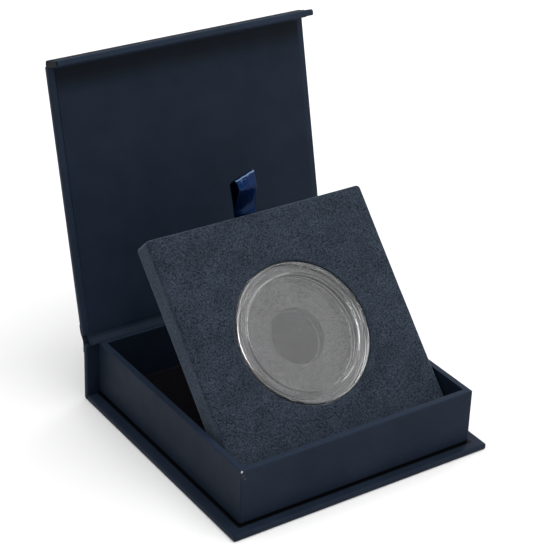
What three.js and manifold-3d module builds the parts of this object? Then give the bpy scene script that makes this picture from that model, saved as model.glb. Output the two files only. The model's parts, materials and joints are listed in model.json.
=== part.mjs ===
// Coin gift box: a rigid board case with a hinged lid and magnetic front flap, open, with the velvet
// insert propped up in the tray. Millimetres, +X right, +Y towards the spine, +Z up.
// The origin is on the underside of the base panel, at the middle of the tray.
import * as THREE from "three";
import { RoundedBoxGeometry } from "three/addons/geometries/RoundedBoxGeometry.js";
import { mergeVertices } from "three/addons/utils/BufferGeometryUtils.js";
import Module from "manifold-3d";

const wasm = await Module();
wasm.setup();

// Outer sizes of the case
const trayWidth = 93.8;
const trayDepth = 93.2;
const trayWallHeight = 20.8;
const panelThickness = 2.2;
const sideLip = 4.8;
const frontLip = 4.3;

// Boards and covering paper
const wrapThickness = 0.22;
const glueGap = 0.08;
const turnIn = 12;
const narrowPanel = 36;
const narrowTurnInShare = 0.25;
const panelEdgeRadius = 0.6;
const linerThickness = 0.16;
const linerInset = 2.6;
const linerEndInset = 1.3;
const flapLinerDrop = 0.5;

// Tray
const wallThickness = 2.3;
const stayRoom = 0.15;
const stayThickness = 0.12;
const stayLeg = 12;
const stayHeight = 15;
const stayCornerCut = 0.15;
const trayFloorThickness = 2.2;
const trayLiningThickness = 0.4;
const rimRadius = 0.5;

// Spine and the strip of cover between its two creases
const spineGlue = 0.1;
const spineTopDrop = 0.4;
const creaseLift = 0.2;
const stripLength = 2.4;
const stripRestAngle = 60;
const stripEndGap = 0.2;
const stripSideGap = 0.6;
const stripLiningWidth = 0.25;
const stripLiningGap = 0.16;

// Lid and front flap
const lidLean = 13.17;
const lidSeatGap = 0.55;
const lidCreaseGap = 0.15;
const spineClosing = 38;
const flapSeatGap = 0.4;
const flapAxisInset = 0.1;
const flapAxisDrop = 0.5;
const flapCrease = 1.4;
const flapTopGap = 1.6;
const flapReach = 9.5;
const flapRestOpening = 8.9;
const flapClothRadius = 1.9;

// Magnets in the flap and their steel keepers in the front wall
const magnetDiameter = 5;
const magnetThickness = 0.9;
const keeperDiameter = 6;
const keeperThickness = 1;
const magnetRise = 3.7;
const magnetSpacing = 56;
const magnetPlay = 0.2;

// Insert pad
const padSideGap = 1.2;
const padEndRoom = 1.8;
const padThickness = 10.4;
const padEdgeRadius = 1;
const padTilt = 46.2;
const padFrontSetback = 3.4;
const padFloorGap = 0.95;
const padClothThickness = 0.4;
const padGlue = 0.1;
const padTurnIn = 10;
const padBackingThickness = 1;
const padBackingInset = 1.6;
const recessShift = 1;
const recessPlay = 0.35;
const pushHoleDiameter = 20.4;
const capsuleProud = 0.45;
const capsuleSeatGap = 0.1;

// Clear two-part capsule for a coin 40.6 across
const capsuleDiameter = 50;
const capsuleThickness = 6;
const capsuleRim = 4.5;
const cavityDepth = 3;
const capsuleFloor = 1.5;
const capsuleSplit = 2.4;
const collarWall = 2.5;
const capsulePlay = 0.1;
const capsuleEdge = 0.45;
const windowStep = 0.3;

// Ribbon loop
const ribbonWidth = 10;
const ribbonThickness = 0.4;
const ribbonHeight = 14.8;
const ribbonShift = 3.5;
const ribbonLoopWidth = 3.4;
const ribbonRootWidth = 0.9;
const ribbonTwist = 16;
const ribbonRootDrop = 1.6;
const ribbonRootGap = 0.2;
const ribbonSewn = 3;
const ribbonSlit = 0.3;
const ribbonBendShare = 0.33;

// Facets and the overrun of cuts
const roundSides = 72;
const holeSides = 36;
const smallSides = 28;
const cornerSteps = 2;
const ribbonSteps = 7;
const cutOver = 1;
const weldDistance = 0.00001;

// Worked-out sizes
const panelWidth = trayWidth + 2 * sideLip;
const trayBack = trayDepth / 2;
const rimZ = panelThickness + trayWallHeight;
const innerHalfX = trayWidth / 2 - wallThickness;
const innerHalfY = trayDepth / 2 - wallThickness;
const padWidth = 2 * (innerHalfX - padSideGap);
const padLength = 2 * innerHalfY - padEndRoom;
const floorTop = panelThickness + trayFloorThickness;
const liningTop = floorTop + trayLiningThickness;
const spineFront = trayBack + spineGlue;
const spineTop = rimZ - spineTopDrop;
const spineCreaseY = spineFront + panelThickness;
const spineCreaseZ = spineTop + creaseLift;
const radians = Math.PI / 180;
const closedStripAngle = (stripRestAngle + spineClosing) * radians;
const lidInnerClosedZ = rimZ + lidSeatGap;
const lidCreaseClosedY = spineCreaseY + stripLength * Math.cos(closedStripAngle);
const lidCreaseClosedZ = spineCreaseZ + stripLength * Math.sin(closedStripAngle);
const creaseToInner = lidCreaseClosedZ - lidInnerClosedZ;
const flapInnerClosedY = -trayDepth / 2 - flapSeatGap;
const flapAxisY = flapInnerClosedY - panelThickness + flapAxisInset;
const flapAxisZ = lidInnerClosedZ + panelThickness - flapAxisDrop;
const lidLength = lidCreaseClosedY - lidCreaseGap - flapAxisY - flapCrease;
const magnetZ = flapAxisZ - flapReach + magnetRise;

// Booleans
function toSolid(geometry) {
  const bare = geometry.clone();
  bare.deleteAttribute("normal");
  bare.deleteAttribute("uv");
  const merged = mergeVertices(bare, weldDistance);
  return new wasm.Manifold(
    new wasm.Mesh({
      numProp: 3,
      vertProperties: merged.attributes.position.array,
      triVerts: new Uint32Array(merged.index.array),
    }),
  );
}

function toGeometry(solid) {
  const mesh = solid.getMesh();
  return new THREE.BufferGeometry()
    .setAttribute("position", new THREE.BufferAttribute(mesh.vertProperties, 3))
    .setIndex(new THREE.BufferAttribute(mesh.triVerts, 1));
}

// A plain block between two corners
function block(low, high) {
  const size = high.map((value, i) => value - low[i]);
  const middle = high.map((value, i) => (value + low[i]) / 2);
  return toSolid(new THREE.BoxGeometry(...size).translate(...middle));
}

// A block whose edges are all rounded
function softBlock(low, high, radius) {
  const size = high.map((value, i) => value - low[i]);
  const middle = high.map((value, i) => (value + low[i]) / 2);
  return toSolid(new RoundedBoxGeometry(...size, cornerSteps, radius).translate(...middle));
}

// A disc with its axis along Z or Y
function disc(radius, low, high, x, y, sides = smallSides) {
  const shape = new THREE.CylinderGeometry(radius, radius, high - low, sides);
  shape.rotateX(Math.PI / 2).translate(x, y, (low + high) / 2);
  return toSolid(shape);
}

function discAlongY(radius, low, high, x, z) {
  const shape = new THREE.CylinderGeometry(radius, radius, high - low, smallSides);
  return toSolid(shape.translate(x, (low + high) / 2, z));
}

// A section in the YZ plane, drawn as a THREE.Shape of (y, z), extruded along X about the middle
function extrudeAcross(shape, width) {
  const geometry = new THREE.ExtrudeGeometry(shape, {
    depth: width,
    bevelEnabled: false,
    curveSegments: ribbonSteps,
  });
  geometry.translate(0, 0, -width / 2);
  geometry.rotateY(Math.PI / 2).rotateX(Math.PI / 2);
  return geometry;
}

function polygon(points) {
  return new THREE.Shape(points.map(([x, y]) => new THREE.Vector2(x, y)));
}

// Finishes
const finishes = {
  paper: { color: 0x222b38, roughness: 0.55 },
  liner: { color: 0x1e2733, roughness: 0.6 },
  board: { color: 0x8b857b, roughness: 0.95 },
  felt: { color: 0x0b0a0e, roughness: 1 },
  velvet: { color: 0x343d48, roughness: 0.95 },
  foam: { color: 0x2a2c31, roughness: 1 },
  satin: { color: 0x12315f, roughness: 0.35 },
  steel: { color: 0x9a9ca0, roughness: 0.35, metalness: 0.9 },
  clear: { color: 0xdfe4e8, roughness: 0.05, transparent: true, opacity: 0.35 },
};

function addPiece(parent, name, shape, finish) {
  const geometry = shape.isBufferGeometry ? shape : toGeometry(shape);
  const material = new THREE.MeshStandardMaterial({ flatShading: true, ...finishes[finish] });
  const mesh = new THREE.Mesh(geometry, material);
  mesh.name = name;
  parent.add(mesh);
}

function addGroup(parent, y, z, angle) {
  const group = new THREE.Group();
  group.position.set(0, y, z);
  group.rotation.x = angle * radians;
  parent.add(group);
  return group;
}

// The covering paper of a panel: a skin round all its edges, turned in over one broad face.
// openAxis is the axis of the panel's thickness and openSide the side that the paper leaves bare.
function wrapSkin(low, high, openAxis, openSide) {
  const innerLow = low.map((value) => value + wrapThickness);
  const innerHigh = high.map((value) => value - wrapThickness);
  const mouthLow = low.map((value) => value + turnIn);
  const mouthHigh = high.map((value) => value - turnIn);
  const across = low.map((value, i) => high[i] - value);
  low.forEach((value, i) => {
    if (i === openAxis || across[i] > narrowPanel) return;
    mouthLow[i] = value + across[i] * narrowTurnInShare;
    mouthHigh[i] = high[i] - across[i] * narrowTurnInShare;
  });
  mouthLow[openAxis] = openSide < 0 ? low[openAxis] - cutOver : innerHigh[openAxis] - glueGap;
  mouthHigh[openAxis] = openSide < 0 ? innerLow[openAxis] + glueGap : high[openAxis] + cutOver;
  return softBlock(low, high, panelEdgeRadius)
    .subtract(softBlock(innerLow, innerHigh, panelEdgeRadius - wrapThickness))
    .subtract(block(mouthLow, mouthHigh));
}

// The board inside a wrapped panel
function panelBoard(low, high) {
  const inset = wrapThickness + glueGap;
  return softBlock(
    low.map((value) => value + inset),
    high.map((value) => value - inset),
    panelEdgeRadius - inset,
  );
}

const giftBox = new THREE.Group();

// Base panel
function makeBase(parent) {
  const low = [-panelWidth / 2, -trayDepth / 2 - frontLip, 0];
  const high = [panelWidth / 2, trayBack, panelThickness];
  addPiece(parent, "base_board", panelBoard(low, high), "board");
  addPiece(parent, "base_wrap", wrapSkin(low, high, 2, 1), "paper");
}

// Spine panel, glued upright against the back of the tray
function makeSpine(parent) {
  const low = [-panelWidth / 2, spineFront, 0];
  const high = [panelWidth / 2, spineCreaseY, spineTop];
  addPiece(parent, "spine_board", panelBoard(low, high), "board");
  addPiece(parent, "spine_wrap", wrapSkin(low, high, 1, -1), "paper");
}

// Tray walls, floor, lining, corner stays, keepers and the paper that covers the walls
function makeTray(parent) {
  const outX = trayWidth / 2 - wrapThickness - stayRoom;
  const outY = trayDepth / 2 - wrapThickness - stayRoom;
  const inX = innerHalfX + wrapThickness;
  const inY = innerHalfY + wrapThickness;
  const top = rimZ - wrapThickness;
  const wallTop = top - glueGap;
  const frontWall = block([-outX, -outY, panelThickness], [outX, -inY, wallTop]);
  const pocketRadius = keeperDiameter / 2 + magnetPlay;
  const pocketDepth = keeperThickness + magnetPlay;
  let drilled = frontWall;
  [-1, 1].forEach((side) => {
    const x = (side * magnetSpacing) / 2;
    drilled = drilled.subtract(
      discAlongY(pocketRadius, -outY - cutOver, -outY + pocketDepth, x, magnetZ),
    );
    const keeper = discAlongY(keeperDiameter / 2, -outY, -outY + keeperThickness, x, magnetZ);
    addPiece(parent, side < 0 ? "keeper_left" : "keeper_right", keeper, "steel");
  });
  addPiece(parent, "tray_wall_front", drilled, "board");
  addPiece(
    parent,
    "tray_wall_back",
    block([-outX, inY, panelThickness], [outX, outY, wallTop]),
    "board",
  );
  addPiece(
    parent,
    "tray_wall_left",
    block([-outX, -inY, panelThickness], [-inX, inY, wallTop]),
    "board",
  );
  addPiece(
    parent,
    "tray_wall_right",
    block([inX, -inY, panelThickness], [outX, inY, wallTop]),
    "board",
  );
  addPiece(
    parent,
    "tray_floor",
    block([-inX, -inY, panelThickness], [inX, inY, floorTop]),
    "board",
  );
  addPiece(
    parent,
    "tray_lining",
    block([-innerHalfX, -innerHalfY, floorTop], [innerHalfX, innerHalfY, liningTop]),
    "felt",
  );
  makeCornerStays(parent, outX, outY);
  const skin = softBlock(
    [-trayWidth / 2, -trayDepth / 2, 0],
    [trayWidth / 2, trayDepth / 2, rimZ],
    rimRadius,
  )
    .subtract(
      block(
        [-panelWidth, -panelWidth, -cutOver],
        [panelWidth, panelWidth, panelThickness],
      ),
    )
    .subtract(
      block([-innerHalfX, -innerHalfY, 0], [innerHalfX, innerHalfY, rimZ + cutOver]),
    )
    .subtract(
      softBlock(
        [-outX - stayRoom, -outY - stayRoom, 0],
        [outX + stayRoom, outY + stayRoom, top],
        rimRadius - wrapThickness,
      ).subtract(block([-inX, -inY, floorTop], [inX, inY, rimZ])),
    );
  addPiece(parent, "tray_wrap", skin, "paper");
}

// Paper stays that tie the four corners of the walls together
function makeCornerStays(parent, outX, outY) {
  const corners = {
    front_left: [-1, -1],
    front_right: [1, -1],
    back_left: [-1, 1],
    back_right: [1, 1],
  };
  const low = panelThickness + (trayWallHeight - stayHeight) / 2;
  Object.entries(corners).forEach(([name, [signX, signY]]) => {
    const far = stayThickness;
    const outline = [
      [far, far - stayCornerCut],
      [far - stayCornerCut, far],
      [-stayLeg, far],
      [-stayLeg, 0],
      [0, 0],
      [0, -stayLeg],
      [far, -stayLeg],
    ].map(([x, y]) => [signX * (outX + x), signY * (outY + y)]);
    const stay = new THREE.ExtrudeGeometry(polygon(outline), {
      depth: stayHeight,
      bevelEnabled: false,
    });
    addPiece(parent, "corner_stay_" + name, stay.translate(0, 0, low), "paper");
  });
}

// The strip of cover between the spine's crease and the lid's crease, and its inner lining.
// In its own frame it runs along -Y from the spine crease, with its outer side up.
function makeHingeStrip(parent) {
  const strip = addGroup(parent, spineCreaseY, spineCreaseZ, stripRestAngle - 180);
  const half = wrapThickness / 2;
  const cover = block(
    [-panelWidth / 2 + stripSideGap, -stripLength + stripEndGap, -half],
    [panelWidth / 2 - stripSideGap, -stripEndGap, half],
  );
  addPiece(strip, "hinge_cover", cover, "paper");
  return strip;
}

// Inner lining of the spine hinge, from the tray's rim up to the lid's crease
function makeHingeLining(parent, lidInnerY, lidInnerZ) {
  const bottomY = trayBack - wallThickness / 2;
  const bottomZ = rimZ + stripLiningGap;
  const topZ = lidInnerZ - stripLiningGap;
  const outline = [
    [bottomY, bottomZ],
    [bottomY + stripLiningWidth, bottomZ],
    [lidInnerY, topZ - stripLiningWidth],
    [lidInnerY, topZ],
    [lidInnerY - stripLiningWidth, topZ],
  ];
  const lining = extrudeAcross(polygon(outline), panelWidth - 2 * linerInset);
  addPiece(parent, "hinge_lining", toSolid(lining), "liner");
}

// Lid panel. Its own frame has the lid crease as origin, and the panel lies along -Y, outer side up.
function makeLid(strip) {
  const rest = 180 - (90 - lidLean) - (180 - stripRestAngle);
  const lid = addGroup(strip, -stripLength, 0, -rest);
  const inner = -creaseToInner;
  const low = [-panelWidth / 2, -lidCreaseGap - lidLength, inner];
  const high = [panelWidth / 2, -lidCreaseGap, inner + panelThickness];
  addPiece(lid, "lid_board", panelBoard(low, high), "board");
  addPiece(lid, "lid_wrap", wrapSkin(low, high, 2, -1), "paper");
  const liner = block(
    [low[0] + linerInset, low[1] + linerEndInset, inner - glueGap - linerThickness],
    [high[0] - linerInset, high[1] - linerEndInset, inner - glueGap],
  );
  addPiece(lid, "lid_liner", liner, "liner");
  makeFlapHinge(lid, low[1], inner);
  return lid;
}

// The cover and the lining that bend round the flap's crease, in the lid's frame
function makeFlapHinge(lid, lidEdge, inner) {
  const outer = inner + panelThickness;
  const centreZ = outer - flapClothRadius;
  const edge = lidEdge - glueGap;
  const bend = new THREE.Shape();
  bend.moveTo(edge, outer);
  bend.absarc(edge, centreZ, flapClothRadius, Math.PI / 2, Math.PI - flapRestOpening * radians);
  const innerRadius = flapClothRadius - wrapThickness;
  bend.absarc(
    edge,
    centreZ,
    innerRadius,
    Math.PI - flapRestOpening * radians,
    Math.PI / 2,
    true,
  );
  bend.closePath();
  const cover = extrudeAcross(bend, panelWidth - 2 * panelEdgeRadius);
  addPiece(lid, "flap_hinge_cover", toSolid(cover), "paper");
}

// Front flap. Its own frame has the flap crease as origin, and the panel hangs along -Z when shut.
function makeFlap(lid) {
  const flap = addGroup(
    lid,
    flapAxisY - lidCreaseClosedY,
    flapAxisZ - lidCreaseClosedZ,
    -flapRestOpening,
  );
  const innerFace = flapInnerClosedY - flapAxisY;
  const low = [-panelWidth / 2, innerFace - panelThickness, -flapReach];
  const high = [panelWidth / 2, innerFace, -flapTopGap];
  const inset = wrapThickness + glueGap;
  const middleZ = magnetZ - flapAxisZ;
  const pocketRadius = magnetDiameter / 2 + magnetPlay;
  const boardInner = innerFace - inset;
  let board = panelBoard(low, high);
  [-1, 1].forEach((side) => {
    const x = (side * magnetSpacing) / 2;
    const near = boardInner - magnetThickness - magnetPlay;
    board = board.subtract(
      discAlongY(pocketRadius, near, boardInner + cutOver, x, middleZ),
    );
    const magnet = discAlongY(
      magnetDiameter / 2,
      boardInner - magnetThickness,
      boardInner,
      x,
      middleZ,
    );
    addPiece(flap, side < 0 ? "flap_magnet_left" : "flap_magnet_right", magnet, "steel");
  });
  addPiece(flap, "flap_board", board, "board");
  addPiece(flap, "flap_wrap", wrapSkin(low, high, 1, 1), "paper");
  const liner = block(
    [low[0] + linerInset, innerFace + glueGap, low[2] + linerEndInset],
    [
      high[0] - linerInset,
      innerFace + glueGap + linerThickness,
      high[2] - flapLinerDrop,
    ],
  );
  addPiece(flap, "flap_liner", liner, "liner");
}

// Insert pad. Its own frame has the front top edge as origin, the face in XY and the depth along -Z.
function makeInsert(parent) {
  const tilt = padTilt * radians;
  const clothDepth = padThickness - padBackingThickness - padGlue;
  const roundCentre = clothDepth - padEdgeRadius;
  const lowest = Math.min(
    padEdgeRadius * Math.sin(tilt) - roundCentre * Math.cos(tilt) - padEdgeRadius,
    padBackingInset * Math.sin(tilt) - padThickness * Math.cos(tilt),
  );
  const frontY = -innerHalfY + padFrontSetback;
  const frontZ = liningTop + padFloorGap - lowest;
  const pad = addGroup(parent, frontY, frontZ, padTilt);
  const half = padWidth / 2;
  const recessY = padLength / 2 - recessShift;
  const recessFloor = -capsuleThickness + capsuleProud - capsuleSeatGap;
  const recessRadius = capsuleDiameter / 2 + recessPlay;
  const clothBottom = -clothDepth;
  const recess = disc(recessRadius, recessFloor, cutOver, 0, recessY, roundSides);
  const hole = disc(
    pushHoleDiameter / 2,
    -padThickness - cutOver,
    cutOver,
    0,
    recessY,
    holeSides,
  );
  const skinInset = padClothThickness;
  const coreInset = padClothThickness + padGlue;
  const cloth = softBlock([-half, 0, clothBottom], [half, padLength, 0], padEdgeRadius)
    .subtract(
      softBlock(
        [-half + skinInset, skinInset, clothBottom + skinInset],
        [half - skinInset, padLength - skinInset, -skinInset],
        padEdgeRadius - skinInset,
      ),
    )
    .subtract(
      block(
        [-half + padTurnIn, padTurnIn, clothBottom - cutOver],
        [half - padTurnIn, padLength - padTurnIn, clothBottom + 2 * skinInset],
      ),
    )
    .subtract(disc(recessRadius, -2 * skinInset, cutOver, 0, recessY, roundSides));
  addPiece(pad, "insert_cloth", cloth, "velvet");
  const core = softBlock(
    [-half + coreInset, coreInset, clothBottom + coreInset],
    [half - coreInset, padLength - coreInset, -coreInset],
    padEdgeRadius - coreInset,
  );
  addPiece(pad, "insert_core", core.subtract(recess).subtract(hole), "foam");
  const backing = block(
    [-half + padBackingInset, padBackingInset, -padThickness],
    [half - padBackingInset, padLength - padBackingInset, -padThickness + padBackingThickness],
  );
  addPiece(pad, "insert_backing", backing.subtract(hole), "board");
  makeCapsule(pad, recessY, recessFloor + capsuleSeatGap);
  makeRibbon(pad);
}

// Clear capsule: a dished base with a raised collar, and a lid whose skirt closes over the collar
function makeCapsule(pad, y, z) {
  const outer = capsuleDiameter / 2;
  const cavity = outer - capsuleRim;
  const collar = cavity + collarWall;
  const collarTop = capsuleFloor + cavityDepth;
  const skirtInner = collar + capsulePlay;
  const lidUnder = collarTop + capsulePlay;
  const skirtFoot = capsuleSplit + capsulePlay;
  const window = cavity + windowStep;
  const baseProfile = [
    [0, 0],
    [outer - capsuleEdge, 0],
    [outer, capsuleEdge],
    [outer, capsuleSplit],
    [collar, capsuleSplit],
    [collar, collarTop],
    [cavity, collarTop],
    [cavity, capsuleFloor],
    [0, capsuleFloor],
  ];
  const lidProfile = [
    [0, lidUnder],
    [skirtInner, lidUnder],
    [skirtInner, skirtFoot],
    [outer, skirtFoot],
    [outer, capsuleThickness - capsuleEdge],
    [outer - capsuleEdge, capsuleThickness],
    [window + windowStep, capsuleThickness],
    [window, capsuleThickness - windowStep],
    [0, capsuleThickness - windowStep],
  ];
  const capsule = new THREE.Group();
  capsule.position.set(0, y, z);
  pad.add(capsule);
  addPiece(capsule, "capsule_base", turned(baseProfile), "clear");
  addPiece(capsule, "capsule_lid", turned(lidProfile), "clear");
}

// A profile of (radius, height) turned about Z
function turned(profile) {
  const points = profile.map(([radius, height]) => new THREE.Vector2(radius, height));
  return toSolid(new THREE.LatheGeometry(points, roundSides).rotateX(Math.PI / 2));
}

// Ribbon pull: a standing loop that leaves the pad's back edge upright and turns a little as it rises
function makeRibbon(pad) {
  const ribbon = new THREE.Group();
  const rootY = padLength + ribbonRootWidth / 2 + ribbonRootGap;
  ribbon.position.set(-ribbonShift, rootY, -ribbonRootDrop);
  ribbon.rotation.x = -padTilt * radians;
  pad.add(ribbon);
  const loop = ribbonOutline(ribbonLoopWidth, ribbonRootWidth, 0, ribbonHeight);
  const insideWidth = ribbonLoopWidth - 2 * ribbonThickness;
  const insideTop = ribbonHeight - ribbonThickness;
  loop.holes.push(ribbonOutline(insideWidth, ribbonSlit, ribbonSewn, insideTop));
  const geometry = extrudeAcross(loop, ribbonWidth);
  const position = geometry.attributes.position;
  for (let i = 0; i < position.count; i++) {
    const x = position.getX(i);
    const y = position.getY(i);
    const turn = (ribbonTwist * radians * position.getZ(i)) / ribbonHeight;
    position.setX(i, x * Math.cos(turn) - y * Math.sin(turn));
    position.setY(i, x * Math.sin(turn) + y * Math.cos(turn));
  }
  addPiece(ribbon, "ribbon_loop", toSolid(geometry), "satin");
}

// The loop's side view: narrow at the foot and round at the crest
function ribbonOutline(crestWidth, footWidth, foot, top) {
  const half = crestWidth / 2;
  const root = footWidth / 2;
  const shoulder = top - half;
  const rise = (shoulder - foot) * ribbonBendShare;
  const outline = new THREE.Shape();
  outline.moveTo(-root, foot);
  outline.lineTo(root, foot);
  outline.bezierCurveTo(root, foot + rise, half, shoulder - rise, half, shoulder);
  outline.absarc(0, shoulder, half, 0, Math.PI);
  outline.bezierCurveTo(-half, shoulder - rise, -root, foot + rise, -root, foot);
  return outline;
}

makeBase(giftBox);
makeSpine(giftBox);
makeTray(giftBox);
const strip = makeHingeStrip(giftBox);
const lid = makeLid(strip);
makeFlap(lid);
giftBox.updateMatrixWorld(true);
const lidCorner = lid.localToWorld(
  new THREE.Vector3(0, -lidCreaseGap, -creaseToInner),
);
makeHingeLining(giftBox, lidCorner.y, lidCorner.z);
makeInsert(giftBox);

export default giftBox;
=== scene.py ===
# Looks, light and camera for the coin gift box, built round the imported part.
# Blender works in metres; the sizes below are in millimetres and go through mm.
# +Z is up and +Y points towards the hinge.
import json
import math

import bmesh
import bpy
from mathutils import Matrix, Vector, noise


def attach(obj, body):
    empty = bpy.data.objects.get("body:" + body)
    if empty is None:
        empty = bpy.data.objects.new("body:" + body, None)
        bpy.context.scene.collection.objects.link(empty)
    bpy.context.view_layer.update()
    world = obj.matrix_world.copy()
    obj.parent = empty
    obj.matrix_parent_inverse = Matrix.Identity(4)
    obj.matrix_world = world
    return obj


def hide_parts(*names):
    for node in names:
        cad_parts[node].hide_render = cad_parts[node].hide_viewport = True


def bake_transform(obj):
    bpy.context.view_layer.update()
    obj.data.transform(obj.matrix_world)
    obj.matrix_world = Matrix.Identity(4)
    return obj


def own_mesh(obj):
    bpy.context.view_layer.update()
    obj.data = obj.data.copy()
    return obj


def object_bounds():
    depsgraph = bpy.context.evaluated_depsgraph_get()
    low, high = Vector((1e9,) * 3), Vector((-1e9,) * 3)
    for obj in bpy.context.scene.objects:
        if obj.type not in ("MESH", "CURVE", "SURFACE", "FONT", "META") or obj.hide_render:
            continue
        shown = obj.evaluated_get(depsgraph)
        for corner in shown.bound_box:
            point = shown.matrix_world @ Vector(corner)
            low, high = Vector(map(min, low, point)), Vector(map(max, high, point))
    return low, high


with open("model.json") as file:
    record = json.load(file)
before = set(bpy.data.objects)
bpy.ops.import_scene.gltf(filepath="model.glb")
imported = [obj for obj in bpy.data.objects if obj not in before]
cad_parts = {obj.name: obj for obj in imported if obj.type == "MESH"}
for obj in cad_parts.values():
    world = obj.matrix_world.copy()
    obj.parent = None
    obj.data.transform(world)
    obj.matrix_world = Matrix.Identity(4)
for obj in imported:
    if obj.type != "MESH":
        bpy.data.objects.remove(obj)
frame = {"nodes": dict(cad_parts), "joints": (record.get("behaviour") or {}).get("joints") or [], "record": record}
cadLow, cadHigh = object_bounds()
mm = 0.001
print("frame loaded:", len(frame["nodes"]), "nodes")


def placeAt(y, z, degrees):
    return Matrix.Translation((0, y * mm, z * mm)) @ Matrix.Rotation(math.radians(degrees), 4, "X")


def mix(a, b, share):
    return a + (b - a) * share


def finishMesh(name, bm, place=Matrix.Identity(4), smooth=True):
    bm.transform(Matrix.Scale(mm, 4))
    bm.transform(place)
    mesh = bpy.data.meshes.new(name)
    bm.to_mesh(mesh)
    bm.free()
    if smooth:
        mesh.polygons.foreach_set("use_smooth", [True] * len(mesh.polygons))
    piece = bpy.data.objects.new(name, mesh)
    bpy.context.scene.collection.objects.link(piece)
    return piece


def addThickness(piece, thickness):  # half of it on each side of the sheet
    solid = piece.modifiers.new("thickness", "SOLIDIFY")
    solid.thickness = thickness * mm
    solid.offset = 0


def roundedPath(points, rounds=3):  # cuts the corners off, and keeps both ends
    for _ in range(rounds):
        cut = [points[0]]
        for a, b in zip(points, points[1:]):
            for share in (0.25, 0.75):
                cut.append((mix(a[0], b[0], share), mix(a[1], b[1], share)))
        points = cut + [points[-1]]
    return points


def stripAlong(path, width, across):  # a sheet that runs along X and follows the path in YZ
    bm = bmesh.new()
    rows = len(path) - 1
    row = bm.verts.layers.int.new("place")
    bmesh.ops.create_grid(bm, x_segments=across, y_segments=rows, size=0.5)
    for vert in bm.verts:
        vert[row] = round((vert.co.y + 0.5) * rows)
        y, z = path[vert[row]]
        vert.co = (vert.co.x * width, y, z)
    return bm


paperLook = {
    "dark": (0.0086, 0.0138, 0.0252, 1),
    "light": (0.0116, 0.0184, 0.0328, 1),
    "grain": 1500,
    "relief": 0.3,
    "roughness": 0.5,
    "specular": 0.3,
}
# painted light: a lighter copy of the cover paper for the lid and flap, lit more than the base and tray
litCoverLook = dict(
    paperLook,
    dark=(0.0115, 0.0184, 0.0325, 1),
    light=(0.0152, 0.0240, 0.0420, 1),
)
linerLook = {
    "dark": (0.0082, 0.0141, 0.0252, 1),
    "light": (0.0114, 0.0188, 0.033, 1),
    "grain": 2600,
    "relief": 0.2,
    "roughness": 0.55,
    "specular": 0.3,
}
# pale grey recess floor, partly painted light making up for light the acrylic capsule holds back
recessLookPaintedLight = {
    "dark": (0.06, 0.059, 0.064, 1),
    "light": (0.25, 0.244, 0.26, 1),
    "pile": 1500,
    "patches": 90,
}
velvetLook = {
    "dark": (0.0036, 0.0063, 0.0102, 1),
    "light": (0.0396, 0.0517, 0.0728, 1),
    "pile": 1750,
    "patches": 120,
}
boardLook = {
    "colours": [
        (0.3, (0.16, 0.15, 0.13, 1)),
        (0.55, (0.25, 0.235, 0.21, 1)),
        (0.75, (0.36, 0.34, 0.31, 1)),
    ],
    "stretch": (1.0, 3.5, 3.5),
    "fibre": 900,
    "relief": 1600,
}
flockLook = {
    "colours": [(0.35, (0.0008, 0.0008, 0.0012, 1)), (0.7, (0.0036, 0.0032, 0.0042, 1))],
    "sheen": (0.25, 0.25, 0.32, 1),
    "pile": 2200,
    "relief": 3000,
}
satinLook = {
    "colours": [(0.3, (0.0006, 0.006, 0.026, 1)), (0.7, (0.0014, 0.014, 0.056, 1))],
    "tint": (0.3, 0.45, 0.7, 1),
    "stretch": (60.0, 2.5, 1.0),
    "rows": 46.0,
    # painted highlight colour along the ribbon's fold
    "foldHighlight": (0.12, 0.18, 0.27, 1),
    "foldStart": (1.497, 1.522),  # how far along the ribbon, in its own widths
    "foldEnd": (1.532, 1.557),
}
steelLook = {
    "colours": [(0.3, (0.42, 0.43, 0.45, 1)), (0.7, (0.6, 0.61, 0.63, 1))],
    "stretch": (1.0, 14.0, 14.0),
    "patches": 1200,
    "relief": 700,
}
acrylicLook = {"colour": (0.97, 0.975, 0.975, 1), "haze": 90, "ripple": 120}
markBands = {  # the heights or distances over which each mark on the papers comes or goes
    "trayFoot": (2.7, 3.2),
    "trayRim": (22.2, 22.9),
    "besideTray": (0.75, 1.25),
    "flapEnds": (0.1, 0.4),
    "underFlap": (108.5, 114.5),
}
trayHalf = {"X": 46.9, "Y": 46.6}
flapHalf = 51.2
flapShade = 0.6


def startFinish(name, roughness, specular, **sockets):
    material = bpy.data.materials.new(name)
    material.use_nodes = True
    tree = material.node_tree
    shader = tree.nodes["Principled BSDF"]
    shader.inputs["Roughness"].default_value = roughness
    shader.inputs["Specular IOR Level"].default_value = specular
    for label, value in sockets.items():
        shader.inputs[label.replace("_", " ")].default_value = value
    return material, tree, shader


def setInput(tree, socket, value):
    if isinstance(value, bpy.types.NodeSocket):
        tree.links.new(value, socket)
    else:
        socket.default_value = value


def addNode(tree, kind, inputs=None, **settings):
    node = tree.nodes.new(kind)
    for label, value in settings.items():
        setattr(node, label, value)
    for label, value in (inputs or {}).items():
        setInput(tree, node.inputs[label], value)
    return node


def objectCoords(tree):
    return addNode(tree, "ShaderNodeTexCoord").outputs["Object"]


def stretched(tree, coords, scale):
    node = addNode(tree, "ShaderNodeMapping", {"Vector": coords, "Scale": scale})
    return node.outputs["Vector"]


def partOf(tree, coords, axis):
    return addNode(tree, "ShaderNodeSeparateXYZ", {"Vector": coords}).outputs[axis]


def mathOf(tree, operation, a, b=0.0):
    node = addNode(tree, "ShaderNodeMath", {0: a, 1: b}, operation=operation)
    return node.outputs["Value"]


def noiseOf(tree, coords, scale, detail, roughness=0.55):
    made = addNode(
        tree,
        "ShaderNodeTexNoise",
        {"Vector": coords, "Scale": scale, "Detail": detail, "Roughness": roughness},
    )
    return made.outputs["Fac"]


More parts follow.
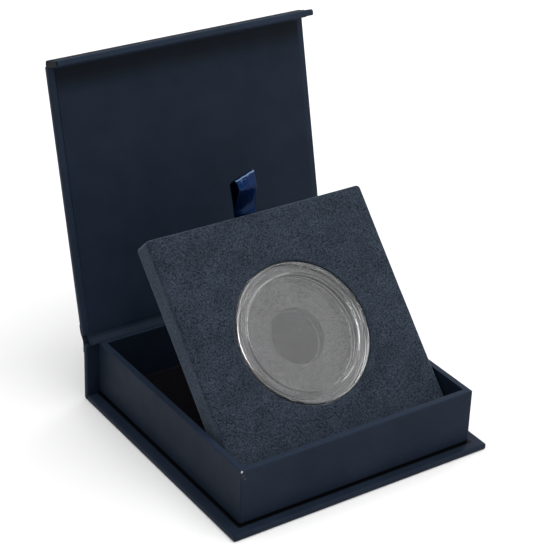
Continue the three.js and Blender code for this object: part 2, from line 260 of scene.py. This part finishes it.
def rampOf(tree, factor, stops):
    ramp = addNode(tree, "ShaderNodeValToRGB", {"Fac": factor})
    points = ramp.color_ramp.elements
    while len(points) < len(stops):
        points.new(0.5)
    for point, (where, colour) in zip(points, stops):
        point.position = where
        point.color = colour
    return ramp.outputs["Color"]


def mixColour(tree, factor, a, b, blend="MIX"):
    node = addNode(tree, "ShaderNodeMix", data_type="RGBA", blend_type=blend)
    for label, value in ((0, factor), (6, a), (7, b)):
        setInput(tree, node.inputs[label], value)
    return node.outputs[2]


def timesFactor(tree, colour, factor):
    grey = addNode(tree, "ShaderNodeCombineXYZ", {"X": factor, "Y": factor, "Z": factor})
    return mixColour(tree, 1.0, colour, grey.outputs["Vector"], "MULTIPLY")


def rangeOf(tree, value, low, high, toLow, toHigh):
    made = addNode(
        tree,
        "ShaderNodeMapRange",
        {"Value": value, "From Min": low, "From Max": high, "To Min": toLow, "To Max": toHigh},
    )
    return made.outputs["Result"]


def bumpOf(tree, height, strength, distance, before=None):
    inputs = {"Height": height, "Strength": strength, "Distance": distance * mm}
    if before:
        inputs["Normal"] = before
    return addNode(tree, "ShaderNodeBump", inputs).outputs["Normal"]


def grainOf(tree, coords, scale):
    cells = addNode(
        tree,
        "ShaderNodeTexVoronoi",
        {"Vector": coords, "Scale": scale, "Smoothness": 0.7},
        feature="SMOOTH_F1",
    )
    return cells.outputs["Distance"]


def nearPoint(tree, coords, point, reach, ragged):  # 1 at the point, 0 beyond a torn edge
    gap = addNode(
        tree,
        "ShaderNodeVectorMath",
        {0: coords, 1: [v * mm for v in point]},
        operation="DISTANCE",
    ).outputs["Value"]
    edge = rangeOf(tree, noiseOf(tree, coords, 1800, 4), 0.3, 0.7, -ragged * mm, ragged * mm)
    total = mathOf(tree, "ADD", gap, edge)
    return rangeOf(tree, total, reach * mm, reach * mm * 0.6, 0, 1)


def outside(tree, coords, axis, half):  # how far a point lies beyond this half width
    size = mathOf(tree, "ABSOLUTE", partOf(tree, coords, axis))
    return mathOf(tree, "SUBTRACT", size, half * mm)


def bandOf(tree, value, name, before, after):
    low, high = markBands[name]
    return rangeOf(tree, value, low * mm, high * mm, before, after)


# painted shade: the tray's paper is darkened along its foot, where it meets the base
def shadeOnTrayFoot(tree, coords):
    return bandOf(tree, partOf(tree, coords, "Z"), "trayFoot", 1, 0)


# painted highlight: the top of the tray's rim is painted lighter
def highlightOnTrayRim(tree, coords):
    return bandOf(tree, partOf(tree, coords, "Z"), "trayRim", 0, 1)


# painted shade: the base's paper is darkened just beside the tray's foot
def shadeRoundTrayFoot(tree, coords):
    beside = [outside(tree, coords, axis, half) for axis, half in trayHalf.items()]
    return bandOf(tree, mathOf(tree, "MAXIMUM", *beside), "besideTray", 1, 0)


def onFlapEnds(tree, coords):
    return bandOf(tree, outside(tree, coords, "X", flapHalf), "flapEnds", 0, 1)


def underFlap(tree, coords):  # painted shadow: the liner is darkened below the flap's crease, where the flap shades it
    return bandOf(tree, partOf(tree, coords, "Z"), "underFlap", 0, flapShade)


def paperFinish(name, look, scuffs=(), marks=()):
    rough, grain, relief = look["roughness"], look["grain"], look["relief"]
    material, tree, shader = startFinish(name, rough, look["specular"], IOR=1.2)
    coords = objectCoords(tree)
    colour = rampOf(
        tree, noiseOf(tree, coords, 70, 5), [(0.3, look["dark"]), (0.7, look["light"])]
    )
    fleck = rangeOf(tree, noiseOf(tree, coords, 3400, 2), 0.3, 0.7, 0.86, 1.14)
    colour = timesFactor(tree, colour, fleck)
    for where, tint in marks:
        colour = mixColour(tree, where(tree, coords), colour, tint)
    for point, reach, ragged, bare in scuffs:  # the white core shows where the paper is rubbed
        core = (bare, bare * 1.05, bare * 1.08, 1)
        colour = mixColour(tree, nearPoint(tree, coords, point, reach, ragged), colour, core)
    tree.links.new(colour, shader.inputs["Base Color"])
    patches = noiseOf(tree, coords, 240, 4)
    polish = rangeOf(tree, patches, 0.3, 0.7, rough - 0.03, rough + 0.05)
    tree.links.new(polish, shader.inputs["Roughness"])
    pebble = bumpOf(tree, grainOf(tree, coords, grain), relief, 0.05)
    normal = bumpOf(tree, noiseOf(tree, coords, grain * 2.6, 2), relief / 2, 0.03, pebble)
    tree.links.new(normal, shader.inputs["Normal"])
    return material


def boardFinish():
    material, tree, shader = startFinish("greyboard", 0.92, 0.2)
    fibres = stretched(tree, objectCoords(tree), boardLook["stretch"])
    colour = rampOf(tree, noiseOf(tree, fibres, boardLook["fibre"], 6, 0.7), boardLook["colours"])
    tree.links.new(colour, shader.inputs["Base Color"])
    normal = bumpOf(tree, noiseOf(tree, fibres, boardLook["relief"], 4), 0.5, 0.08)
    tree.links.new(normal, shader.inputs["Normal"])
    return material


def flockFinish():
    material, tree, shader = startFinish(
        "flockLining", 1.0, 0.03, Sheen_Weight=0.06, Sheen_Roughness=0.6
    )
    shader.inputs["Sheen Tint"].default_value = flockLook["sheen"]
    coords = objectCoords(tree)
    colour = rampOf(tree, noiseOf(tree, coords, flockLook["pile"], 4, 0.7), flockLook["colours"])
    tree.links.new(colour, shader.inputs["Base Color"])
    normal = bumpOf(tree, noiseOf(tree, coords, flockLook["relief"], 3), 0.8, 0.2)
    tree.links.new(normal, shader.inputs["Normal"])
    return material


def velvetFinish(name, look, lift=1.0):
    material, tree, shader = startFinish(name, 0.95, 0.05, Sheen_Weight=0.4, Sheen_Roughness=0.4)
    shader.inputs["Sheen Tint"].default_value = (0.42, 0.52, 0.66, 1)
    coords = objectCoords(tree)
    dark, light = ([v * lift for v in look[key][:3]] + [1] for key in ("dark", "light"))
    pile = noiseOf(tree, coords, look["pile"], 5, 0.72)
    colour = rampOf(tree, pile, [(0.37, dark), (0.64, light)])
    nap = rangeOf(tree, noiseOf(tree, coords, look["patches"], 4), 0.3, 0.7, 0.8, 1.2)
    tree.links.new(timesFactor(tree, colour, nap), shader.inputs["Base Color"])
    tree.links.new(bumpOf(tree, pile, 0.6, 0.22), shader.inputs["Normal"])
    return material


def satinFinish():
    look = satinLook
    material, tree, shader = startFinish(
        "ribbonSatin", 0.3, 0.5, Coat_Weight=0.16, Coat_Roughness=0.1
    )
    shader.inputs["Specular Tint"].default_value = look["tint"]
    along = addNode(tree, "ShaderNodeUVMap", uv_map="weave").outputs["UV"]
    streaks = noiseOf(tree, stretched(tree, along, look["stretch"]), 1.0, 4, 0.6)
    colour = rampOf(tree, streaks, look["colours"])
    run = partOf(tree, along, "Y")  # painted highlight: the fold at the top of the loop is painted as a bright, non-metallic line
    rise = rangeOf(tree, run, *look["foldStart"], 0, 1)
    fold = rangeOf(tree, run, *look["foldEnd"], rise, 0)
    colour = mixColour(tree, fold, colour, look["foldHighlight"])
    tree.links.new(colour, shader.inputs["Base Color"])
    tree.links.new(rangeOf(tree, fold, 0, 1, 1, 0), shader.inputs["Metallic"])
    gloss = rangeOf(tree, streaks, 0.3, 0.7, 0.26, 0.36)
    tree.links.new(gloss, shader.inputs["Roughness"])
    rows = addNode(
        tree,
        "ShaderNodeTexWave",
        {"Vector": along, "Scale": look["rows"], "Distortion": 0.6, "Detail": 2.0},
        bands_direction="X",
    ).outputs["Fac"]
    normal = bumpOf(tree, rows, 0.12, 0.04, bumpOf(tree, streaks, 0.3, 0.06))
    tree.links.new(normal, shader.inputs["Normal"])
    return material


def steelFinish():
    material, tree, shader = startFinish("discSteel", 0.3, 0.5, Metallic=1.0, Anisotropic=0.5)
    coords = objectCoords(tree)
    colour = rampOf(tree, noiseOf(tree, coords, steelLook["patches"], 5), steelLook["colours"])
    tree.links.new(colour, shader.inputs["Base Color"])
    brushed = stretched(tree, coords, steelLook["stretch"])
    normal = bumpOf(tree, noiseOf(tree, brushed, steelLook["relief"], 3), 0.15, 0.02)
    tree.links.new(normal, shader.inputs["Normal"])
    return material


def acrylicFinish():
    material, tree, shader = startFinish(
        "clearAcrylic", 0.03, 0.5, Transmission_Weight=1.0, IOR=1.49
    )
    coords = objectCoords(tree)
    shader.inputs["Base Color"].default_value = acrylicLook["colour"]
    haze = rangeOf(tree, noiseOf(tree, coords, acrylicLook["haze"], 5), 0.35, 0.75, 0.015, 0.07)
    tree.links.new(haze, shader.inputs["Roughness"])
    normal = bumpOf(tree, noiseOf(tree, coords, acrylicLook["ripple"], 3), 0.04, 0.02)
    tree.links.new(normal, shader.inputs["Normal"])
    return material


trayScuffs = [  # point, reach, raggedness and brightness
    ((-46.5, -46.6, 22.75), 0.3, 0.7, 0.4),
    ((-45.9, -46.6, 20.9), 0.45, 1.1, 0.035),
    ((-45.3, -46.6, 19.8), 0.4, 1.0, 0.045),
]
lidScuffs = [((51.6, 58.0, 52.0), 0.22, 0.2, 0.4), ((51.6, 63.5, 80.0), 0.2, 0.2, 0.4)]
# painted highlight colour for the tray's rim
paintedRimHighlight = (0.0125, 0.02, 0.036, 1)
shadedEnds = (0.0015, 0.002, 0.0045, 1)
# painted shadow colour for the liner under the flap
paintedFlapShadow = (0.0012, 0.0016, 0.0022, 1)
# painted shade colour for the groove at the tray's foot
paintedFootShade = (0.0008, 0.0009, 0.0014, 1)
# the tray's paper carries a painted highlight on its rim and painted shade along its foot
trayMarks = [(highlightOnTrayRim, paintedRimHighlight), (shadeOnTrayFoot, paintedFootShade)]
foamShade = 0.4
finishes = {
    "coverPaper": paperFinish("coverPaper", paperLook),
    "trayPaper": paperFinish("trayPaper", paperLook, trayScuffs, trayMarks),
    "basePaper": paperFinish("basePaper", paperLook, (), [(shadeRoundTrayFoot, paintedFootShade)]),
    "lidPaper": paperFinish("lidPaper", litCoverLook, lidScuffs),
    "flapPaper": paperFinish("flapPaper", litCoverLook, (), [(onFlapEnds, shadedEnds)]),
    "linerPaper": paperFinish("linerPaper", linerLook),
    "lidLiner": paperFinish("lidLiner", linerLook, (), [(underFlap, paintedFlapShadow)]),
    "greyboard": boardFinish(),
    "flock": flockFinish(),
    "velvet": velvetFinish("padVelvet", velvetLook),
    "recess": velvetFinish("recessFloorPaintedLight", recessLookPaintedLight),
    "foam": velvetFinish("padFoam", velvetLook, foamShade),
    "satin": satinFinish(),
    "steel": steelFinish(),
    "acrylic": acrylicFinish(),
}
finishOfSlot = {
    "cover_paper": "coverPaper",
    "liner_paper": "linerPaper",
    "greyboard": "greyboard",
    "tray_felt": "flock",
    "velvet": "velvet",
    "pad_core": "foam",
    "ribbon_satin": "satin",
    "steel": "steel",
    "clear_acrylic": "acrylic",
}
finishOfNode = {
    "tray_wrap": "trayPaper",
    "base_wrap": "basePaper",
    "lid_wrap": "lidPaper",
    "lid_liner": "lidLiner",
    "flap_wrap": "flapPaper",
    "flap_liner": "flapPaper",
}


def wear(piece, finish):
    piece.data.materials.clear()
    piece.data.materials.append(finishes[finish])


for part in frame["record"]["subparts"]:
    finish = finishOfNode.get(part["node"], finishOfSlot[part["material_slot"]])
    wear(frame["nodes"][part["node"]], finish)
print("finishes made:", len(finishes))

joints = {joint["name"]: joint for joint in frame["joints"]}
spineCrease, lidCrease, flapCrease = (
    [v / mm for v in joints[name]["pos_m"]]
    for name in ("spine_crease", "lid_crease", "flap_crease")
)
lidTurn = -103.17  # how far the lid's board is turned at rest
flapLean = 8.9
lidPlace = placeAt(lidCrease[1], lidCrease[2], lidTurn)
flapPlace = placeAt(flapCrease[1], flapCrease[2], lidTurn - flapLean)
padFoot = (-40.9, 11.7935)
padTilt = 46.2
padPlace = placeAt(*padFoot, padTilt)


def inWorld(matrix, y, z):  # a point of a turned frame, as (y, z) of the world in millimetres
    point = matrix @ Vector((0, y * mm, z * mm))
    return (point.y / mm, point.z / mm)


def blendAcross(piece):
    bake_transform(piece)


liningThinness = 0.8


def hingeSheet(name, path, sizes, isLining, stands):
    width = sizes["liningWidth"] if isLining else sizes["width"]
    piece = finishMesh(name, stripAlong(roundedPath(path), width, sizes["across"]))
    addThickness(piece, sizes["thickness"] * (liningThinness if isLining else 1))
    wear(piece, "linerPaper" if isLining else "coverPaper")
    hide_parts(stands)
    return piece


spineHinge = {
    "width": 103.2,
    "liningWidth": 100.8,
    "thickness": 0.16,
    "outer": 49.0,
    "bulge": 0.06,
    "lidOffset": 0.67,
    "reach": 4.0,
    "across": 40,
    "baseBlend": -0.5,
    "lidBlend": -0.6,
    "stripLow": (49.42, 23.45),
    "stripHigh": (49.85, 24.35),
    "rim": [(45.3, 23.09), (46.2, 23.15), (47.2, 23.7)],
    "rimBlend": (45.8, 23.1),
    "fold": (48.0, 24.35),
    "liner": [(-0.05, -1.62), (-0.5, -1.78), (-1.4, -1.79)],
    "linerBlend": (-0.3, -1.7),
}


def makeSpineHinge():
    s = spineHinge
    outer, bulge, offset, reach = s["outer"], s["bulge"], s["lidOffset"], s["reach"]
    spineY, spineZ = spineCrease[1:]
    lidY, lidZ = lidCrease[1:]
    middle = (mix(spineY, lidY, 0.5) + bulge, mix(spineZ, lidZ, 0.5))
    lower = [
        (outer, spineZ - reach),
        (outer, spineZ - 1.0),
        (outer + 0.02, spineZ + 0.1),
        middle,
    ]
    upper = [
        middle,
        (lidY + bulge, lidZ - 0.1),
        inWorld(lidPlace, -0.25, offset - 0.35),
        inWorld(lidPlace, -1.0, offset),
        inWorld(lidPlace, -reach, offset),
    ]
    coverLow = hingeSheet("spineHingeCover", lower, s, False, "hinge_cover")
    coverHigh = hingeSheet("lidHingeCover", upper, s, False, "hinge_cover")
    blendAcross(coverLow)
    blendAcross(coverHigh)
    onLiner = [inWorld(lidPlace, *point) for point in s["liner"]]
    liningLow = hingeSheet("rimLining", s["rim"] + [s["fold"]], s, True, "hinge_lining")
    liningHigh = hingeSheet("lidLining", [s["fold"]] + onLiner, s, True, "hinge_lining")
    blendAcross(liningLow)
    blendAcross(liningHigh)


makeSpineHinge()

flapHinge = {
    "width": 102.0,
    "liningWidth": 98.2,
    "thickness": 0.16,
    "across": 40,
    "reach": 4.0,
    "lidEnd": -96.266,
    "lidOffset": 0.67,
    "lidBlend": (-0.3, 0.4),
    "flapBlend": (-0.2, -1.6),
    "lidLiner": [(-94.9, -1.79), (-95.35, -1.82)],
    "flapLiner": [(2.24, -1.55), (2.22, -1.75)],
}


def makeFlapHinge():
    s = flapHinge
    lidEnd, offset = s["lidEnd"], s["lidOffset"]
    overLid = [
        (lidEnd + s["reach"], offset),
        (lidEnd + 0.6, offset),
        (lidEnd - 0.7, offset - 0.01),
        (lidEnd - 1.7, 0.2),
        (lidEnd - 2.03, -0.9),
    ]
    overFlap = [(-0.22, -2.0), (-0.2, -2.0 - s["reach"] * 0.6)]
    outer = [inWorld(lidPlace, *p) for p in overLid] + [inWorld(flapPlace, *p) for p in overFlap]
    cover = hingeSheet("flapHingeCover", outer, s, False, "flap_hinge_cover")
    onLid = [inWorld(lidPlace, *point) for point in s["lidLiner"]]
    onFlap = [inWorld(flapPlace, *point) for point in s["flapLiner"]]
    lining = hingeSheet("flapHingeLining", onLid + onFlap, s, True, "flap_hinge_cover")
    blendAcross(cover)
    blendAcross(lining)


makeFlapHinge()
print("hinges made")

velvetPad = {
    "half": 43.4,
    "corner": 1.4,
    "edge": 1.1,
    "depth": 9.3,
    "recess": 25.35,
    "recessDepth": 5.62,
    "roll": 0.55,
    "hole": 10.2,
    "shift": 1.0,
    "crown": 0.22,
    "pull": 0.3,
    "swell": 0.12,
    "nap": 0.03,
    "sides": 240,
    "topRings": 24,
    "backRings": 12,
    "bendRings": 8,
}


def padAngle(index):
    return 2 * math.pi * index / velvetPad["sides"]


def roundPoint(index, radius):
    angle = padAngle(index)
    return Vector((radius * math.cos(angle), radius * math.sin(angle) - velvetPad["shift"]))


def squarePoint(index, half, corner):
    angle = padAngle(index)
    quarter = round(angle / (math.pi / 2))
    along = (angle - quarter * math.pi / 2) / (math.pi / 4)
    reach = half * (0.2 * along + 0.8 * math.sin(along * math.pi / 2))  # closer at the corners
    point = Vector((half, reach))
    over = abs(reach) - (half - corner)
    if over > 0:
        turn = over / corner * math.pi / 4
        bend = half - corner + corner * math.sin(turn)
        point = Vector((half - corner + corner * math.cos(turn), math.copysign(bend, reach)))
    else:  # the cloth pulls the sides in a little between the corners
        point.x -= velvetPad["pull"] * (1 - (reach / (half - corner)) ** 2) * 0.5
    point.rotate(Matrix.Rotation(quarter * math.pi / 2, 2))
    return point


def shares(steps):
    return [step / steps for step in range(1, steps + 1)]


def padRings():  # from the foot of the hole over the front and the sides to the back
    s = velvetPad
    half, edge, roll = s["half"], s["edge"], s["roll"]
    recess, floor, back = s["recess"], -s["recessDepth"], -s["depth"]
    rings = []

    def addRound(radius, z):
        rings.append([(*roundPoint(i, radius), z) for i in range(s["sides"])])

    def addSquare(inset, z):
        corner = max(s["corner"] - inset * 0.5, 0.4)
        rings.append([(*squarePoint(i, half - inset, corner), z) for i in range(s["sides"])])

    def addBetween(points, share, z):
        rings.append([(*a.lerp(b, share), z) for a, b in points])

    def paired(radius):
        return [
            (roundPoint(i, radius), squarePoint(i, half - edge, s["corner"]))
            for i in range(s["sides"])
        ]

    for share in [0.0] + shares(4):
        addRound(s["hole"], mix(back, floor, share))
    for share in shares(8):
        addRound(mix(s["hole"], recess, share), floor)
    for share in shares(6):
        addRound(recess, mix(floor, -roll, share))
    for share in shares(6):
        turn = share * math.pi / 2
        addRound(recess + roll * (1 - math.cos(turn)), -roll * (1 - math.sin(turn)))
    front = paired(recess + roll)
    for share in shares(s["topRings"]):
        addBetween(front, share ** 1.3, s["crown"] * math.sin(math.pi * share))
    for share in shares(s["bendRings"]):
        turn = share * math.pi / 2
        addSquare(edge * (1 - math.sin(turn)), -edge * (1 - math.cos(turn)))
    for share in shares(s["bendRings"]):
        addSquare(0, mix(-edge, back + edge, share))
    for share in shares(s["bendRings"]):
        turn = share * math.pi / 2
        addSquare(edge * (1 - math.cos(turn)), back + edge * (1 - math.sin(turn)))
    behind = [(b, a) for a, b in paired(s["hole"])]
    for share in shares(s["backRings"])[:-1]:
        addBetween(behind, share, back)
    return rings


def makeVelvetPad():
    s = velvetPad
    rings = padRings()
    bm = bmesh.new()
    place = bm.verts.layers.int.new("place")
    bmesh.ops.create_circle(bm, segments=s["sides"], radius=1)
    loop = sorted(bm.verts, key=lambda v: math.atan2(v.co.y, v.co.x) % (2 * math.pi) + 1e-6)
    for index, vert in enumerate(loop):
        vert[place] = index
        vert.co = rings[0][index]
    firstEdges = edges = list(bm.edges)
    for ring in rings[1:]:
        grown = bmesh.ops.extrude_edge_only(bm, edges=edges)["geom"]
        corners = {g for g in grown if isinstance(g, bmesh.types.BMVert)}
        for vert in corners:
            vert.co = ring[vert[place]]
        edges = [
            g for g in grown if isinstance(g, bmesh.types.BMEdge) and corners.issuperset(g.verts)
        ]
    bmesh.ops.bridge_loops(bm, edges=firstEdges + edges)
    for vert in bm.verts:  # the nap and the foam under it are never quite even
        if vert.co.z > -1:
            swell = noise.noise(vert.co * 0.09) * s["swell"]
            vert.co.z += swell + noise.noise(vert.co * 0.6) * s["nap"]
    bmesh.ops.translate(bm, verts=bm.verts, vec=(0, s["half"], 0))
    bmesh.ops.recalc_face_normals(bm, faces=bm.faces)
    for face in bm.faces:  # the floor of the recess is left grey; its lightness is partly painted light, standing in for light the acrylic capsule holds back
        middle = face.calc_center_median() - Vector((0, s["half"] - s["shift"], 0))
        onFloor = abs(middle.z + s["recessDepth"]) < 0.1
        face.material_index = int(s["hole"] < middle.xy.length < s["recess"] and onFloor)
    pad = finishMesh("velvetPad", bm, padPlace)
    for finish in ("velvet", "recess"):
        pad.data.materials.append(finishes[finish])
    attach(pad, "insert")
    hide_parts("insert_cloth", "insert_core")


makeVelvetPad()
print("velvet pad made")

capsule = {
    "outer": 25.0,
    "edge": 0.45,
    "cavity": 20.5,
    "floor": 1.5,
    "depth": 3.0,
    "collar": 23.0,
    "split": 2.4,
    "play": 0.1,
    "thickness": 6.0,
    "window": 20.8,
    "step": 0.3,
    "seat": -5.55,
    "sides": 192,
}


def filletedProfile(points, steps=5):  # (radius, height, fillet) corners to a smooth line
    line = []
    for i, (r, z, fillet) in enumerate(points):
        here = Vector((r, z))
        if not fillet or i in (0, len(points) - 1):
            line.append(here)
            continue
        back = (Vector(points[i - 1][:2]) - here).normalized()
        ahead = (Vector(points[i + 1][:2]) - here).normalized()
        a, b = here + back * fillet, here + ahead * fillet
        for step in range(steps + 1):
            share = step / steps
            line.append(a.lerp(here, share).lerp(here.lerp(b, share), share))
    return line


def turnedPiece(name, points, sides, place):
    bm = bmesh.new()
    verts = [bm.verts.new((r, 0, z)) for r, z in filletedProfile(points)]
    edges = [bm.edges.new(pair) for pair in zip(verts, verts[1:])]
    bmesh.ops.spin(
        bm,
        geom=verts + edges,
        angle=2 * math.pi,
        steps=sides,
        axis=(0, 0, 1),
        cent=(0, 0, 0),
        use_merge=True,
    )
    bmesh.ops.remove_doubles(bm, verts=bm.verts, dist=0.0005)
    bmesh.ops.recalc_face_normals(bm, faces=bm.faces)
    return finishMesh(name, bm, place)


def makeCapsule():
    s = capsule
    top = s["floor"] + s["depth"]
    base = [
        (0, 0, 0),
        (s["outer"] - s["edge"], 0, 0.2),
        (s["outer"], s["edge"], 0.2),
        (s["outer"], s["split"], 0.15),
        (s["collar"], s["split"], 0.12),
        (s["collar"], top, 0.15),
        (s["cavity"], top, 0.3),
        (s["cavity"], s["floor"], 0.25),
        (0, s["floor"], 0),
    ]
    under = top + s["play"]
    foot = s["split"] + s["play"]
    lid = [
        (0, under, 0),
        (s["collar"] + s["play"], under, 0.12),
        (s["collar"] + s["play"], foot, 0.12),
        (s["outer"], foot, 0.15),
        (s["outer"], s["thickness"] - s["edge"], 0.2),
        (s["outer"] - s["edge"], s["thickness"], 0.2),
        (s["window"] + s["step"], s["thickness"], 0.12),
        (s["window"], s["thickness"] - s["step"], 0.12),
        (0, s["thickness"] - s["step"], 0),
    ]
    middle = velvetPad["half"] - velvetPad["shift"]
    place = padPlace @ Matrix.Translation((0, middle * mm, s["seat"] * mm))
    for name, points, body in (
        ("capsuleLower", base, "capsule_base"),
        ("capsuleUpper", lid, "capsule_lid"),
    ):
        piece = turnedPiece(name, points, s["sides"], place)
        wear(piece, "acrylic")
        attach(piece, body)
        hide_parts(body)


makeCapsule()
print("capsule made")

ribbon = {
    "width": 10.0,
    "height": 14.8,
    "bulge": 3.0,
    "thickness": 0.26,
    "gather": (0.84, 0.96),
    "twist": 20.0,
    "tilt": 9.6,
    "tiltSlant": 0.8,
    "slant": 0.55,
    "spread": 0.15,
    "wave": 0.07,
    "across": 32,
    "rootX": -3.5,
    "rootY": 20.7827,
    "rootZ": 73.804,
    "lidLean": (0.906, 0.424),
    "press": 1.5,
    "keep": 0.2,
}


def ribbonPath():  # up the front of the loop, over its fold and down the back
    s = ribbon
    back, top = s["bulge"], s["height"] - s["thickness"] / 2
    return [
        (-0.2, -0.5),
        (0.2, 0.6),
        (0.3, 2.5),
        (-0.3, 6),
        (-0.85, s["tilt"] - 0.5),
        (-0.82, s["tilt"] + 0.5),
        (-0.4, 11.6),
        (0.05, 13.2),
        (0.3, top - 0.6),
        (0.85, top),
        (1.4, top - 0.15),
        (1.9, top - 1.0),
        (back * 0.9, top - 2.5),
        (back, 10.6),
        (back * 0.92, 8.2),
        (back * 0.7, 5.4),
        (1.4, 2.8),
        (0.7, 0.6),
        (0.2, -0.5),
    ]


def shapedPoint(x, y, z):  # the loop leans, gathers and twists as it rises
    s = ribbon
    side, rise = 2 * x / s["width"], z / s["height"]
    y = y * (1 - s["spread"] * side * rise) + s["wave"] * math.sin(x * 1.7 + z * 0.3) * rise
    fold = s["tilt"] - s["tiltSlant"] * side
    crest = s["height"] + s["slant"] * (side - 1)  # the crest falls away to the left
    if z < s["tilt"]:
        z *= fold / s["tilt"]
    else:
        z = mix(fold, crest, (z - s["tilt"]) / (s["height"] - s["tilt"]))
    x *= mix(*s["gather"], rise)
    turn = math.radians(s["twist"]) * (1 - (1 - rise) ** 2)
    return (
        x * math.cos(turn) - y * math.sin(turn),
        x * math.sin(turn) + y * math.cos(turn),
        z,
    )


def makeRibbon():
    s = ribbon
    path = roundedPath(ribbonPath())
    run = [0.0]
    for a, b in zip(path, path[1:]):
        run.append(run[-1] + math.dist(a, b))
    bm = stripAlong(path, s["width"], s["across"])
    weave = bm.loops.layers.uv.new("weave")
    row = bm.verts.layers.int["place"]
    for face in bm.faces:
        for corner in face.loops:
            vert = corner.vert
            corner[weave].uv = (vert.co.x / s["width"], run[vert[row]] / s["width"])
    for vert in bm.verts:
        vert.co = shapedPoint(*vert.co)
    bmesh.ops.translate(bm, verts=bm.verts, vec=(s["rootX"], 0, 0))
    bmesh.ops.recalc_face_normals(bm, faces=bm.faces)
    loop = finishMesh("ribbonPull", bm, placeAt(s["rootY"], s["rootZ"], 0))
    addThickness(loop, s["thickness"])
    wear(loop, "satin")
    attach(loop, "ribbon")
    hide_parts("ribbon_loop")
    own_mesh(loop)
    print("ribbon length", round(run[-1], 1), "mm")


makeRibbon()

trayLining = {
    "half": (44.5, 44.2),
    "bottom": 4.45,
    "thickness": 0.3,
    "ripple": 0.05,
    "cells": 44,
}


def makeTrayLining():
    s = trayLining
    bm = bmesh.new()
    bmesh.ops.create_grid(bm, x_segments=s["cells"], y_segments=s["cells"], size=1)
    for vert in bm.verts:
        x, y = vert.co.x * s["half"][0], vert.co.y * s["half"][1]
        ripple = noise.noise(Vector((x, y, 0)) * 0.12) * s["ripple"]
        vert.co = (x, y, s["bottom"] + s["thickness"] / 2 + ripple)
    lining = finishMesh("trayLining", bm)
    addThickness(lining, s["thickness"])
    wear(lining, "flock")
    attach(lining, "base")
    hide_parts("tray_lining")


makeTrayLining()
print("lining made")

studio = {
    "floor": (0.79, 0.79, 0.79, 1),
    "floorSize": 4000,
    "floorDrop": 0.05,
    "world": 0.35,
    "backdrop": 1.1,
    "ceiling": 2.7,
    "ceilingSpread": 70,
    "lights": (  # place, aim, width, height and power, all in metres and watts
        ((0.51, -0.53, 0.74), (0, 0.0, 0.05), 1.0, 1.0, 2.4),
        ((-0.8, -0.3, 0.6), (0, 0, 0.03), 0.35, 0.35, 0.7),
        ((0.93, -0.26, 0.33), (0, 0, 0.05), 0.2, 0.45, 2.2),
        ((0.8, -0.68, 0.14), (0, 0, 0.06), 0.2, 0.22, 0.8),
        ((0.8, 0.45, 0.35), (0, 0, 0.04), 0.35, 0.35, 1.8),
    ),
}
photoView = {
    "azimuth": -34.796,
    "elevation": 28.71,
    "roll": 2.2006,
    "distance": 600.29,
    "target": (-3.988, -2.149, 59.003),
    "lens": 115.26,
    "sensor": 36,
}


def aimed(spot, target):
    back = (Vector(spot) - Vector(target)).normalized()
    return back.to_track_quat("Z", "Y").to_matrix().to_4x4()


def makeFloor():
    bm = bmesh.new()
    bmesh.ops.create_grid(bm, x_segments=1, y_segments=1, size=studio["floorSize"])
    under = Matrix.Translation((0, 0, cadLow.z - studio["floorDrop"] * mm))
    floor = finishMesh("floor", bm, under, False)
    paint, _, shader = startFinish("floorPaint", 0.9, 0.1)
    shader.inputs["Base Color"].default_value = studio["floor"]
    floor.data.materials.append(paint)


def makeWorld(scene):
    world = bpy.data.worlds.new("studio")
    world.use_nodes = True
    sky = world.node_tree
    seen = addNode(sky, "ShaderNodeLightPath").outputs["Is Camera Ray"]
    strength = rangeOf(sky, seen, 0, 1, studio["world"], studio["backdrop"])
    sky.links.new(strength, sky.nodes["Background"].inputs["Strength"])
    sky.nodes["Background"].inputs["Color"].default_value = (1, 1, 1, 1)
    scene.world = world


def makeLights(scene):
    ceiling = bpy.data.lights.new("ceiling", "SUN")
    ceiling.energy = studio["ceiling"]
    ceiling.angle = math.radians(studio["ceilingSpread"])
    scene.collection.objects.link(bpy.data.objects.new("ceiling", ceiling))
    for index, (spot, target, width, height, power) in enumerate(studio["lights"]):
        lamp = bpy.data.lights.new("softbox" + str(index), "AREA")
        lamp.shape = "RECTANGLE"
        lamp.size = width
        lamp.size_y = height
        lamp.energy = power
        holder = bpy.data.objects.new(lamp.name, lamp)
        holder.matrix_world = Matrix.Translation(spot) @ aimed(spot, target)
        holder.visible_camera = False
        scene.collection.objects.link(holder)


def makeCamera(scene):
    s = photoView
    turn, rise, roll = (math.radians(s[k]) for k in ("azimuth", "elevation", "roll"))
    back = Vector(
        (math.sin(turn) * math.cos(rise), -math.cos(turn) * math.cos(rise), math.sin(rise))
    )
    right = (-back).cross(Vector((0, 0, 1))).normalized()
    up = right.cross(-back)
    tiltedRight = right * math.cos(roll) + up * math.sin(roll)
    tiltedUp = up * math.cos(roll) - right * math.sin(roll)
    axes = Matrix((tiltedRight, tiltedUp, back)).transposed().to_4x4()
    lens = bpy.data.cameras.new("photoView")
    lens.lens = s["lens"]
    lens.sensor_width = s["sensor"]
    lens.clip_start = 0.01
    lens.clip_end = 20
    camera = bpy.data.objects.new("photoView", lens)
    spot = Vector(s["target"]) * mm + back * s["distance"] * mm
    camera.matrix_world = Matrix.Translation(spot) @ axes
    scene.collection.objects.link(camera)
    scene.camera = camera


scene = bpy.context.scene
makeFloor()
makeWorld(scene)
makeLights(scene)
scene.view_settings.view_transform = "Standard"
scene.view_settings.look = "None"
scene.view_settings.exposure = 0
scene.view_settings.gamma = 1
makeCamera(scene)
print("studio and camera made")
